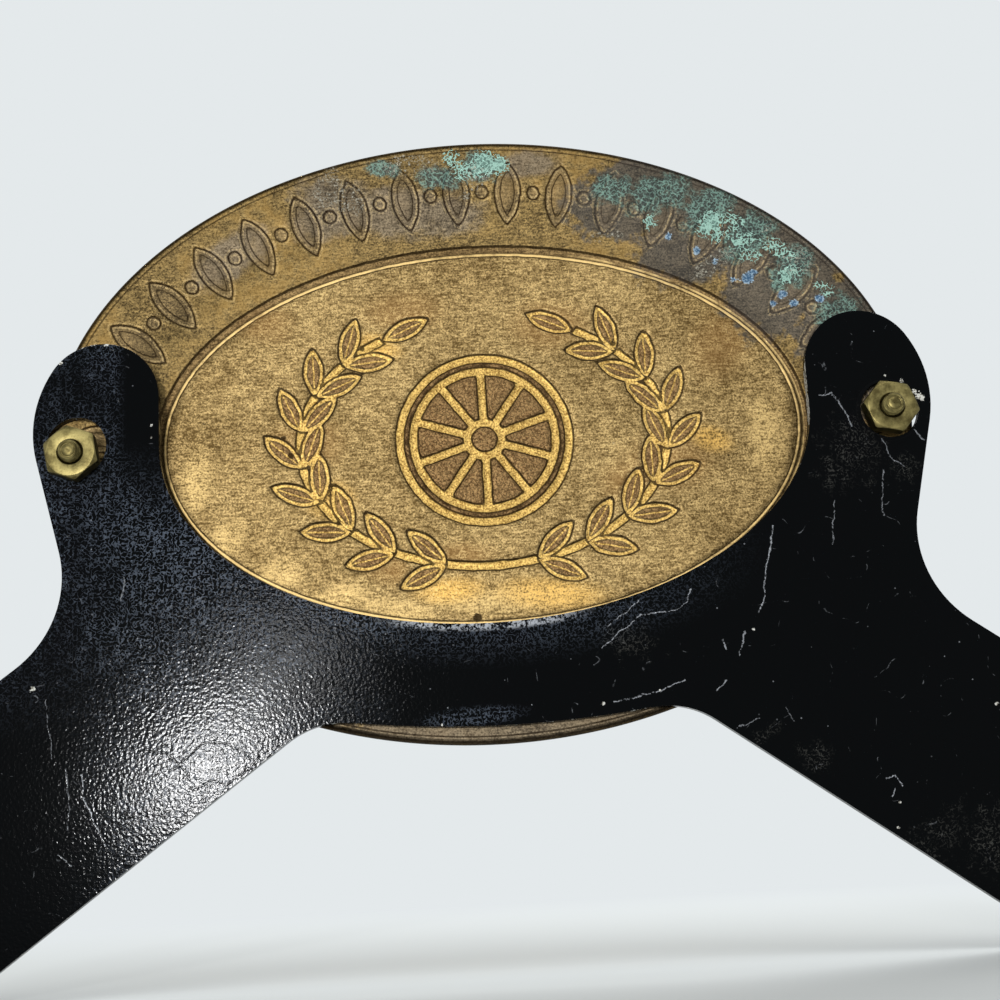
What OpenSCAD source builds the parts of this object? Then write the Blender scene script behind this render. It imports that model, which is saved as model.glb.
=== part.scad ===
// License plate topper: an oval struck badge bolted by two studs to a flat bracket with two legs.
// It stands as on a car: X across the car, Z up, -Y is the badge's front and +Y the bracket's rear.
// The origin is midway between the two plate bolts, on the bracket's rear face.

/* [Badge] */
// Width of the oval badge
badge_w = 139.8; // [120:0.1:160]
// Height of the oval badge
badge_h = 100.7; // [88:0.1:112]
// Thickness of the badge's sheet
badge_t = 1.2; // [0.8:0.1:2]
// How far the badge's field lies in front of its flange
dish = 2.2; // [1:0.1:4]
// Width of the flat flange at each end of the oval
flange_w = 8.2; // [7.5:0.1:11]
// Height of the struck lines over the sheet
relief = 0.35; // [0.15:0.05:0.6]
// Width of the raised rim along the badge's edge
rim_w = 1.3; // [0.8:0.1:2]
// Turn of the badge on the bracket, in degrees, that the large holes allow
badge_turn = 0.6; // [0:0.1:0.8]
// Sideways shift of the badge on the bracket that the large holes allow
badge_shift = 0.35; // [0:0.05:0.6]

/* [Struck design] */
// Width of the oval field inside the border line
field_w = 103; // [96:0.5:106]
// Height of the oval field inside the border line
field_h = 61.5; // [56:0.5:66]
// Width of the border line round the field
border_w = 1.8; // [1:0.1:2.4]
// Width of the struck lines of the wheel and the stems
line_w = 1.4; // [0.8:0.1:1.8]
// Outer diameter of the spoked wheel in the middle
wheel_d = 29; // [24:0.5:31]
// Width of the wheel's tyre
tyre_w = 3.6; // [3:0.1:4.5]
// Outer diameter of the wheel's hub
hub_d = 7; // [5:0.5:9]
// Number of the wheel's spokes
spokes = 10; // [6:1:12]
// Width of the laurel wreath between its two stems
wreath_w = 60; // [56:1:72]
// Height of the laurel wreath between its stems
wreath_h = 42; // [41:0.5:44]
// Length of a laurel leaf
leaf_l = 8.6; // [6:0.1:9]
// Width of a laurel leaf
leaf_w = 3.4; // [2.4:0.1:4]
// Number of leaf pairs on each stem
leaf_pairs = 8; // [5:1:9]
// How far the design and the studs sit below the middle of the oval
art_drop = 0.9; // [0:0.1:2]

/* [Studs and nuts] */
// Diameter of the studs
stud_d = 3.5; // [3:0.1:4]
// Distance of each stud from the badge's end
stud_inset = 4.4; // [4:0.1:5.5]
// How far a stud stands out of its nut
stud_proud = 1.3; // [0.5:0.1:4]
// Width of the nuts across their flats
nut_af = 7.94; // [7.5:0.01:9]
// Thickness of the nuts
nut_h = 2.78; // [2:0.01:4]
// Turn of the left nut on its thread, in degrees
left_nut_turn = 49; // [0:1:59]
// Turn of the right nut on its thread, in degrees
right_nut_turn = 39; // [0:1:59]
// Radial clearance between a nut and its stud
nut_clearance = 0.05; // [0.02:0.01:0.1]
// Width of the solder fillet round a stud
solder_w = 0.85; // [0.4:0.05:0.9]
// Height of the solder fillet
solder_h = 1.1; // [0.5:0.1:1.4]

/* [Bracket] */
// Thickness of the bracket's sheet
bracket_t = 1.6; // [1.2:0.1:2.5]
// Diameter of the large holes that the studs stand in
hole_d = 9.5; // [9.5:0.1:10.5]
// How far the bracket laps over the border line
window_lap = 0.9; // [0.5:0.1:2]
// Turn of the window in the bracket, in degrees, as it was cut
window_turn = 1.6; // [0:0.1:2]
// Width of the web under the window
web_w = 16; // [14:0.1:18]
// How much deeper the web's lower edge is in the middle than where the legs start
web_bow = 2.4; // [1:0.1:3]
// Distance of an ear's middle from the stud, towards the window
ear_in = 3.9; // [3.8:0.1:4.6]
// Height of an ear's upper round over the badge's middle
ear_up = 7.8; // [6:0.1:12]
// Radius of the outer side of an ear
ear_side_r = 19; // [16:0.5:22]
// Lean of an ear's outer side down to the waist, in degrees
ear_lean = 14; // [12:1:20]
// Where an ear's upper round meets its outer side, in degrees above level
ear_turn = 33; // [20:1:50]
// Radius of the hollow between an ear and a leg
waist_r = 17.2; // [8:0.1:20]
// Width of a leg
leg_w = 35.3; // [30:0.1:37]
// Slope of the legs below level, in degrees
leg_slope = 36; // [34:0.5:38]
// Radius of the inner corner between the web and a leg
crotch_r = 13; // [8:0.5:15]

/* [Plate bolts] */
// Distance between the two plate bolts
bolt_pitch = 177.8; // [170:0.1:184]
// Drop from the badge's middle to the plate bolts
bolt_drop = 67.3; // [66:0.1:70]
// Width of the slots for the plate bolts
slot_w = 7.1; // [5.5:0.1:8.5]
// Length of the slots for the plate bolts
slot_l = 19; // [12:0.5:24]

/* [Hidden] */

brass = "#b08a45";
old_brass = "#a89a55";
black_enamel = "#15161a";
solder_grey = "#8d8a80";

// Sizes that follow from the ones above
stud_x = badge_w / 2 - stud_inset;
field_a = field_w / 2 + border_w;
field_b = field_h / 2 + border_w;
window_a = field_a - window_lap;
window_b = field_b - window_lap;
ear_x = stud_x - ear_in;
ear_r = ear_x - window_a;
leg_dir = [cos(leg_slope), -sin(leg_slope)];
leg_normal = [sin(leg_slope), cos(leg_slope)];
bolt = [bolt_pitch / 2, -bolt_drop];
web_low = window_b + web_w;
margin = 1;      // how far cutting tools run past what they cut
arc_step = 4;    // degrees between the points of an arc

// Plane geometry. Outlines are drawn as the badge is seen from its middle: [across, up].
function unit(v) = v / norm(v);
function left_of(v) = [-v[1], v[0]];
function polar(r, a) = [r * cos(a), r * sin(a)];
function arc(centre, r, from, to) =
    let (n = max(6, ceil(abs(to - from) / arc_step)))
    [for (i = [0:n]) centre + polar(r, from + (to - from) * i / n)];
function oval(a, b, from, to) = [for (p = arc([0, 0], 1, from, to)) [a * p[0], b * p[1]]];
function turned(pts, a) =
    [for (p = pts) [p[0] * cos(a) + p[1] * sin(a), p[1] * cos(a) - p[0] * sin(a)]];

// The other half of an outline whose first point lies on the middle line
function mirrored(pts) = [for (i = [len(pts) - 1:-1:1]) [-pts[i][0], pts[i][1]]];

// Where the line through p along u meets the line through q along v
function crossing(p, u, q, v) = p + u * ((q - p) * left_of(v)) / (u * left_of(v));

// A corner at b, coming from a and going to c, rounded with radius r
function rounded(a, b, c, r) =
    let (u = unit(b - a), v = unit(c - b),
         turn = acos(max(-1, min(1, u * v))),
         side = u * left_of(v) < 0 ? 1 : -1,
         start = b - u * r * tan(turn / 2),
         centre = start + left_of(u) * r * side,
         n = max(2, ceil(turn / arc_step)),
         first = start - centre)
    [for (i = [0:n]) let (t = side * turn * i / n)
        centre + [first[0] * cos(t) - first[1] * sin(t), first[0] * sin(t) + first[1] * cos(t)]];

// Stands a plane outline upright: from y = rear towards the front by depth
module upright(rear, depth) {
    translate([0, rear, 0]) rotate([90, 0, 0]) linear_extrude(depth) children();
}

// A round bar along Y, from y = rear towards the front by depth
module bar(r, rear, depth, sides = 96) {
    translate([0, rear, 0]) rotate([90, 0, 0]) cylinder(r = r, h = depth, $fn = sides);
}

// Puts a piece on the badge: its middle over the plate bolts, slightly turned, its flange on the bracket
module on_badge() {
    translate([badge_shift, -bracket_t, bolt_drop]) rotate([0, badge_turn, 0]) children();
}

// Puts a piece at a stud, where side is 1 or -1
module at_stud(side) {
    on_badge() translate([side * stud_x, 0, -art_drop]) children();
}

// An oval, as a plane figure
module oval_face(a, b) {
    scale([1, b / a]) circle(r = a, $fn = 180);
}

// A flat ring of the given outer radius and width, as a plane figure
module ring_face(r, w) {
    difference() {
        circle(r = r, $fn = 96);
        circle(r = r - w, $fn = 96);
    }
}

// The dish: what lies between the flange's plane, the field's plane and the sloping band
module dish_bulge() {
    skin = 0.01;
    foot = 0.4;
    hull() {
        upright(0, skin) scale([1, (badge_h - 2 * flange_w) / (badge_w - 2 * flange_w)])
            circle(r = badge_w / 2 - flange_w, $fn = 72);
        upright(-dish + skin, skin) scale([1, (field_b + foot) / (field_a + foot)])
            circle(r = field_a + foot, $fn = 72);
    }
}

// The badge's sheet with nothing struck in it, its flange's rear face at y = 0
module badge_sheet() {
    difference() {
        union() {
            upright(0, badge_t) oval_face(badge_w / 2, badge_h / 2);
            translate([0, -badge_t, 0]) dish_bulge();
        }
        dish_bulge();
    }
}

// The spoked wheel: tyre, spokes and hub
module wheel_face() {
    wheel_r = wheel_d / 2;
    hub_r = hub_d / 2;
    ring_face(wheel_r, line_w);
    ring_face(wheel_r - tyre_w + line_w, line_w);
    ring_face(hub_r, line_w);
    for (i = [0:spokes - 1]) rotate(360 * (i + 0.5) / spokes)
        translate([hub_r - line_w / 2, -line_w / 2]) square([wheel_r - tyre_w - hub_r + line_w, line_w]);
}

// A pointed leaf, from the origin along +X
module leaf_face() {
    r = (leaf_l * leaf_l / leaf_w + leaf_w) / 4;
    intersection_for (side = [-1, 1])
        translate([leaf_l / 2, side * (r - leaf_w / 2)]) circle(r = r, $fn = 96);
}

// The right branch of the wreath: a stem from the foot upwards, a leaf at its tip and pairs along it
module branch_face() {
    a = wreath_w / 2;
    b = wreath_h / 2;
    from = -98;
    to = 58;
    lowest_leaf = -76;
    lean = 34;
    polygon(concat(oval(a + line_w / 2, b + line_w / 2, from, to),
                   oval(a - line_w / 2, b - line_w / 2, to, from)));
    for (i = [0:leaf_pairs]) {
        t = to - (to - lowest_leaf) * i / leaf_pairs;
        along = atan2(b * cos(t), -a * sin(t));
        translate([a * cos(t), b * sin(t)])
            for (side = i == 0 ? [0] : [-1, 1]) rotate(along + side * lean) leaf_face();
    }
}

// What is struck in the field: the border line, and the wheel in its wreath
module struck_figure() {
    difference() {
        oval_face(field_a, field_b);
        oval_face(field_w / 2, field_h / 2);
    }
    translate([0, -art_drop]) {
        wheel_face();
        branch_face();
        mirror([1, 0]) branch_face();
    }
}

// The badge: each struck line stands out on the front and is a groove on the back
module badge() {
    root = 0.1;
    color(brass) on_badge() difference() {
        union() {
            badge_sheet();
            upright(-dish - badge_t + root, root + relief) struck_figure();
            upright(-badge_t + root, root + relief) difference() {
                oval_face(badge_w / 2, badge_h / 2);
                oval_face(badge_w / 2 - rim_w, badge_h / 2 - rim_w);
            }
        }
        upright(-dish + margin, margin + relief) struck_figure();
    }
}

// A stud: a threaded rod brazed on the flange, through the bracket and the nut, with a chamfered end
module stud(side) {
    length = bracket_t + nut_h + stud_proud;
    chamfer = 0.4;
    color(old_brass) at_stud(side) rotate([-90, 0, 0]) {
        cylinder(r = stud_d / 2, h = length - chamfer, $fn = 64);
        translate([0, 0, length - chamfer])
            cylinder(r1 = stud_d / 2, r2 = stud_d / 2 - chamfer, h = chamfer, $fn = 64);
    }
}

// The solder fillet in the corner between stud and badge, hollow in section
module solder(side) {
    toe = 0.15;
    color(solder_grey) at_stud(side) rotate([-90, 0, 0]) rotate_extrude($fn = 64)
        translate([stud_d / 2, 0]) difference() {
            square([solder_w, solder_h]);
            translate([solder_w, solder_h]) scale([(solder_w - toe) / (solder_h - toe), 1])
                circle(r = solder_h - toe, $fn = 64);
        }
}

// The blank that a nut's hexagon is cut from, with 30 degree cones at both ends
module nut_blank() {
    flat_r = nut_af / 2;
    blank_r = nut_af / 2 / cos(30) + margin;
    cone_h = (blank_r - flat_r) * tan(30);
    rotate_extrude($fn = 96) polygon([[0, 0], [flat_r, 0], [blank_r, cone_h], [blank_r, nut_h - cone_h],
                                      [flat_r, nut_h], [0, nut_h]]);
}

// A hexagon nut on the bracket's rear face, bored for its stud
module nut(side, turn) {
    bore_r = stud_d / 2 + nut_clearance;
    sink = 0.3;
    color(old_brass) at_stud(side) translate([0, bracket_t, 0]) rotate([-90, 0, 0]) rotate([0, 0, turn])
        difference() {
            intersection() {
                cylinder(r = nut_af / 2 / cos(30), h = nut_h, $fn = 6);
                nut_blank();
            }
            translate([0, 0, -margin]) cylinder(r = bore_r, h = nut_h + 2 * margin, $fn = 64);
            for (end = [0, 1]) translate([0, 0, end * nut_h]) mirror([0, 0, end])
                cylinder(r1 = bore_r + sink, r2 = bore_r, h = sink, $fn = 64);
        }
}

// The right half of the bracket's outline, from under the web round the leg and over the ear
function half_outline() =
    let (low_corner = crossing(bolt - leg_normal * leg_w / 2, leg_dir, [0, web_bow - web_low], [1, 0]),
         web_r = (low_corner[0] * low_corner[0] + web_bow * web_bow) / (2 * web_bow),
         web_angle = asin(low_corner[0] / web_r),
         crotch_angle = asin(crotch_r * tan((web_angle + leg_slope) / 2) / web_r),
         crotch_in = low_corner - polar(2 * crotch_r, web_angle),
         ear = [ear_x, ear_up],
         side_centre = ear - polar(ear_side_r - ear_r, ear_turn),
         side_foot = side_centre + polar(ear_side_r, -ear_lean),
         side_dir = left_of(polar(1, -ear_lean)),
         leg_top = bolt + leg_normal * leg_w / 2,
         waist = crossing(side_foot, side_dir, leg_top, leg_dir))
    concat(
        arc([0, web_r - web_low], web_r, -90, web_angle - crotch_angle - 90),
        rounded(crotch_in, low_corner, low_corner + leg_dir, crotch_r),
        arc(bolt, leg_w / 2, -90 - leg_slope, 90 - leg_slope),
        rounded(waist + leg_dir, waist, waist + side_dir, waist_r),
        arc(side_centre, ear_side_r, -ear_lean, ear_turn),
        arc(ear, ear_r, ear_turn, 180));

// The bracket: one flat sheet with two ears, a web, two legs, two large stud holes and two slots
module bracket() {
    half = half_outline();
    window = turned(oval(window_a, window_b, 0, -180), window_turn);
    color(black_enamel) difference() {
        translate([0, 0, bolt_drop]) upright(0, bracket_t) polygon(concat(half, window, mirrored(half)));
        for (side = [-1, 1]) {
            translate([side * stud_x, 0, bolt_drop]) bar(hole_d / 2, margin, bracket_t + 2 * margin);
            translate([side * bolt_pitch / 2, 0, 0]) {
                for (end = [-1, 1]) translate([end * (slot_l - slot_w) / 2, 0, 0])
                    bar(slot_w / 2, margin, bracket_t + 2 * margin);
                translate([-(slot_l - slot_w) / 2, -bracket_t - margin, -slot_w / 2])
                    cube([slot_l - slot_w, bracket_t + 2 * margin, slot_w]);
            }
        }
    }
}

badge();
stud(-1);  // left_stud
stud(1);  // right_stud
solder(-1);  // left_solder
solder(1);  // right_solder
bracket();
nut(-1, left_nut_turn);  // left_nut
nut(1, right_nut_turn);  // right_nut
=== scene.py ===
"""Looks of an old license plate topper: an oval struck brass badge on a black enamelled bracket.

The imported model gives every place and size. Lengths are in millimetres until a mesh is made.
"""
import math

import bpy
import bmesh
import numpy as np
from mathutils import Matrix, Vector


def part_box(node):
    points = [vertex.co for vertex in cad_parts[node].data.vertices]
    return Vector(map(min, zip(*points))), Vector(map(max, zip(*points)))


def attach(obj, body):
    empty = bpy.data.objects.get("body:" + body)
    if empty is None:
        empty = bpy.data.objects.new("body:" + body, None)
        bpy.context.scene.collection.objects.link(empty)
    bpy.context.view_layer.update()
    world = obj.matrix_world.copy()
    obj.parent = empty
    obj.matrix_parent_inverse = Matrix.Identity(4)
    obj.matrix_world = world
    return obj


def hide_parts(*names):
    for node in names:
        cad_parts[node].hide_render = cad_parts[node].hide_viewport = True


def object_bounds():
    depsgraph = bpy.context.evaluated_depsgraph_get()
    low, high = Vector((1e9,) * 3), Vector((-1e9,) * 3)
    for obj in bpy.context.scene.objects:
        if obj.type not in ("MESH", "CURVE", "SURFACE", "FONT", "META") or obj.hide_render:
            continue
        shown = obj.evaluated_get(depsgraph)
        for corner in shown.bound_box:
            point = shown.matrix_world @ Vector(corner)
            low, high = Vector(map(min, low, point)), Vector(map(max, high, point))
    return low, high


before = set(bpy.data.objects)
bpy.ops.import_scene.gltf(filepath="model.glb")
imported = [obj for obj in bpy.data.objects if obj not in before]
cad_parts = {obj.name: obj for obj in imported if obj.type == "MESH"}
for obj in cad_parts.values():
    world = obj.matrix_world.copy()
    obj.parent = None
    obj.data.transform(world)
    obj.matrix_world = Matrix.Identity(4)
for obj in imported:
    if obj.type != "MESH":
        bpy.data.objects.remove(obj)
cad_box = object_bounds()


# Camera: it stands close behind the bracket and a little below it, and looks slightly up at the badge's back.
# Its place is worked out from the outlines of badge, bracket and nuts in the photograph. Lengths are written in
# millimetres, and MM takes them to metres.
MM = 0.001
aim = Vector((-1.47, 0.0, 55.2)) * MM
aim_distance = 245 * MM
aim_turn, aim_height, aim_roll = (math.radians(a) for a in (2.05, -13.11, -3.23))
picture_angle = math.radians(35.96)

back_dir = Vector((math.sin(aim_turn) * math.cos(aim_height), math.cos(aim_turn) * math.cos(aim_height),
                   math.sin(aim_height)))
level = Vector((0, 0, 1)).cross(back_dir).normalized()
upward = back_dir.cross(level)
right_dir = math.cos(aim_roll) * level + math.sin(aim_roll) * upward
up_dir = math.cos(aim_roll) * upward - math.sin(aim_roll) * level
camera = bpy.data.objects.new("camera", bpy.data.cameras.new("camera"))
camera.data.angle = picture_angle
camera.data.clip_start = 0.01
camera.matrix_world = Matrix.Translation(aim + aim_distance * back_dir) @ Matrix(
    (right_dir, up_dir, back_dir)).transposed().to_4x4()
bpy.context.collection.objects.link(camera)
bpy.context.scene.camera = camera


# Badge: one oval sheet of brass, struck in a die. Its field is pressed forward, and the border line, the spoked
# wheel and the laurel wreath stand out on the front and are grooves on the back. The wreath, the wheel and the
# row of leaves on the band are plain ornaments.
def smooth(x, low, high):
    """Rises from 0 at low to 1 at high as 3 t^2 - 2 t^3, and falls the same way where low is above high."""
    t = np.clip((x - low) / (high - low), 0, 1)
    return t * t * (3 - 2 * t)


def noise_field(x, z, scale, seed):
    """A smooth random field in -1..1: a sum of plane waves of like wavelength, each with its own direction."""
    rng = np.random.default_rng(seed)
    wave_count = 24
    turn = rng.uniform(0, 2 * math.pi, wave_count)
    pitch = rng.uniform(0.6, 1.6, wave_count) * 2 * math.pi / scale
    shift = rng.uniform(0, 2 * math.pi, wave_count)
    waves = [np.sin(p * (x * math.cos(a) + z * math.sin(a)) + s) for a, p, s in zip(turn, pitch, shift)]
    return sum(waves) / math.sqrt(wave_count * 2)


def disc_grid(cells):
    """A square grid carried onto the unit disc ring by ring: a point's ring is its greater coordinate, and the
    smaller one gives its angle, as a share of 45 degrees. Returns ring, across and up, with the direction as a
    unit vector."""
    side = np.linspace(-1, 1, cells + 1)
    u, v = np.meshgrid(side, side)
    ring = np.maximum(abs(u), abs(v))
    flat = abs(u) >= abs(v)
    angle = np.where(flat, math.pi / 4 * v / np.where(flat & (u != 0), u, 1),
                     math.pi / 2 - math.pi / 4 * u / np.where(flat, 1, v))
    sign = np.sign(np.where(flat, u, v))
    return ring, sign * np.cos(angle), sign * np.sin(angle)


def oval_distance(x, z, a, b):
    """Distance outward from an ellipse, to first order: (f - 1) / |gradient of f|, f the scaled radius."""
    f = np.sqrt((x / a) ** 2 + (z / b) ** 2) + 1e-9
    slope = np.sqrt((x / a ** 2) ** 2 + (z / b ** 2) ** 2) / f + 1e-9
    return (f - 1) / slope


def leaf_distance(along, across, length, width):
    """Distance outward from a pointed leaf: two equal arcs whose chord is the leaf's length."""
    radius = (length * length / width + width) / 4
    return np.hypot(along - length / 2, abs(across) + radius - width / 2) - radius


def at(x, z, place, angle):
    """Coordinates of points along and across a direction, from a place."""
    dx, dz = x - place[0], z - place[1]
    return dx * math.cos(angle) + dz * math.sin(angle), dz * math.cos(angle) - dx * math.sin(angle)


def grid_faces(index, wrap_rows=False, wrap_columns=False):
    """Quads between neighbouring rows and columns of an index grid."""
    if wrap_rows:
        index = np.concatenate([index, index[:1]])
    if wrap_columns:
        index = np.concatenate([index, index[:, :1]], axis=1)
    corners = (index[:-1, :-1], index[1:, :-1], index[1:, 1:], index[:-1, 1:])
    return np.stack([c.ravel() for c in corners], axis=1)


def add_piece(name, mesh, material, body, nodes):
    """Links a finished mesh and ties it to its body, slot and nodes."""
    piece = bpy.data.objects.new(name, mesh)
    bpy.context.collection.objects.link(piece)
    mesh.materials.append(material)
    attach(piece, body)
    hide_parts(*nodes)
    return piece


def new_piece(name, points, faces, material, body, nodes, attributes=()):
    """Makes a piece from points in millimetres, smooth shaded, with a value per point for each attribute."""
    mesh = bpy.data.meshes.new(name)
    mesh.from_pydata((np.asarray(points) * MM).tolist(), [], [list(f) for f in faces])
    mesh.polygons.foreach_set("use_smooth", np.ones(len(mesh.polygons), bool))
    for key, values in dict(attributes).items():
        mesh.attributes.new(key, "FLOAT", "POINT").data.foreach_set("value", np.asarray(values, np.float32))
    mesh.validate()
    return add_piece(name, mesh, material, body, nodes)


class Wire:
    """A socket in a material's nodes. Arithmetic on wires adds Math nodes, and node() adds any other node."""

    def __init__(self, tree, socket=None):
        self.tree = tree
        self.socket = socket

    def node(self, kind, settings=(), inputs=(), output=0):
        """Adds a node: its settings first, then the values or wires of its sockets."""
        made = self.tree.nodes.new(kind)
        for key, value in dict(settings).items():
            setattr(made, key, value)
        for key, value in dict(inputs).items():
            if isinstance(value, Wire):
                self.tree.links.new(value.socket, made.inputs[key])
            else:
                made.inputs[key].default_value = value
        return Wire(self.tree, made.outputs[output] if len(made.outputs) else None)

    def maths(self, operation, *values):
        return self.node("ShaderNodeMath", {"operation": operation}, dict(enumerate(values)))

    def __add__(self, other): return self.maths("ADD", self, other)
    def __radd__(self, other): return self.maths("ADD", other, self)
    def __sub__(self, other): return self.maths("SUBTRACT", self, other)
    def __rsub__(self, other): return self.maths("SUBTRACT", other, self)
    def __mul__(self, other): return self.maths("MULTIPLY", self, other)
    def __rmul__(self, other): return self.maths("MULTIPLY", other, self)
    def __truediv__(self, other): return self.maths("DIVIDE", self, other)
    def __abs__(self): return self.maths("ABSOLUTE", self)

    def most(self, other): return self.maths("MAXIMUM", self, other)

    def rise(self, low, high):
        """0 at low and 1 at high, with soft ends. Low may be above high."""
        return self.node("ShaderNodeMapRange", {"interpolation_type": "SMOOTHSTEP"},
                         {"Value": self, "From Min": low, "From Max": high})

    def line(self, width, at=0.0):
        """1 where this value is at a place and 0 past half a width from it."""
        return abs(self - at).rise(width / 2, width * 0.2)

    def noise(self, size, detail=2.0, roughness=0.5, stretch=(1, 1, 1), seed=0.0, color=False):
        """Noise of a grain size in millimetres, about 0.2 to 0.8, in one channel or, as a colour, in three."""
        place = self.node("ShaderNodeMapping", {},
                          {"Vector": self, "Scale": stretch, "Location": (seed, seed, 0)})
        return self.node("ShaderNodeTexNoise", {"noise_dimensions": "3D"},
                         {"Vector": place, "Scale": 1 / (size * MM), "Detail": detail, "Roughness": roughness},
                         1 if color else 0)

    def worms(self, size, width=0.12, seed=0.0):
        """Thin winding lines, where a noise passes through its middle value."""
        return abs(self.noise(size, 1.5, 0.5, seed=seed) - 0.5).rise(width / 2, 0)

    def dots(self, size, radius, share, seed=0.0):
        """Round dots of a radius in millimetres, in a share of the cells of an uneven grid of this size."""
        place = self.node("ShaderNodeMapping", {}, {"Vector": self, "Location": (seed, seed, 0)})
        cell = {"Vector": place, "Scale": 1 / (size * MM)}
        away = self.node("ShaderNodeTexVoronoi", {}, cell) * size
        cell_color = self.node("ShaderNodeTexVoronoi", {}, cell, 1)
        kept = self.node("ShaderNodeSeparateXYZ", {}, {0: cell_color}, 0).rise(share + 0.02, share - 0.02)
        return away.rise(radius, radius / 2) * kept

    def near(self, x, z, radius):
        """Depth in millimetres inside a round spot at a place given in millimetres."""
        flat = self.node("ShaderNodeVectorMath", {"operation": "MULTIPLY"}, {0: self, 1: (1, 0, 1)})
        middle = (x * MM, 0, z * MM)
        away = self.node("ShaderNodeVectorMath", {"operation": "DISTANCE"}, {0: flat, 1: middle}, 1)
        return radius - away / MM

    def along(self, start, turn, units):
        """Distances from a place along a direction and square to it, each in its own unit of millimetres."""
        away = self.node("ShaderNodeVectorMath", {"operation": "SUBTRACT"},
                         {0: self, 1: (start[0] * MM, 0, start[1] * MM)})
        return [self.node("ShaderNodeVectorMath", {"operation": "DOT_PRODUCT"}, {
            0: away, 1: (math.cos(angle) / (unit * MM), 0, math.sin(angle) / (unit * MM))}, 1)
            for angle, unit in zip((turn, turn + math.pi / 2), units)]

    def patch(self, x, z, a, b, turn=0.0):
        """1 in the middle of an oval given in millimetres, 0 on its rim, and less than 0 outside."""
        p, q = self.along((x, z), turn, (a, b))
        return 1 - self.maths("SQRT", p * p + q * q)

    def stroke(self, ax, az, bx, bz):
        """Distance in millimetres from a straight scratch between two places given in millimetres."""
        half = math.hypot(bx - ax, bz - az) / 2
        p, q = self.along((ax, az), math.atan2(bz - az, bx - ax), (1, 1))
        past = (abs(p - half) - half).most(0.0)
        return self.maths("SQRT", past * past + q * q)

    def blend(self, first, second, factor):
        """The first colour where the factor is 0 and the second where it is 1."""
        return self.node("ShaderNodeMix", {"data_type": "RGBA", "clamp_factor": True},
                         {0: factor, 6: first, 7: second}, 2)


def strongest(wires):
    """The greatest of many wires at each point."""
    found, *others = wires
    for wire in others:
        found = found.most(wire)
    return found


def linear(red, green, blue):
    """A colour of 0..255 as the screen shows it, in linear light."""
    def one(c):
        c = c / 255
        return c / 12.92 if c <= 0.04045 else ((c + 0.055) / 1.055) ** 2.4
    return (one(red), one(green), one(blue), 1.0)


def new_material(name):
    """An empty material, the wire that starts its nodes, and the wire of its object coordinates."""
    material = bpy.data.materials.new(name)
    material.use_nodes = True
    material.node_tree.nodes.clear()
    start = Wire(material.node_tree)
    return material, start, start.node("ShaderNodeTexCoord", output="Object")


def finish_material(start, settings):
    """Ends the nodes in one glossy or metallic shader with these socket values or wires."""
    surface = start.node("ShaderNodeBsdfPrincipled", {}, settings)
    start.node("ShaderNodeOutputMaterial", {}, {"Surface": surface})


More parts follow.
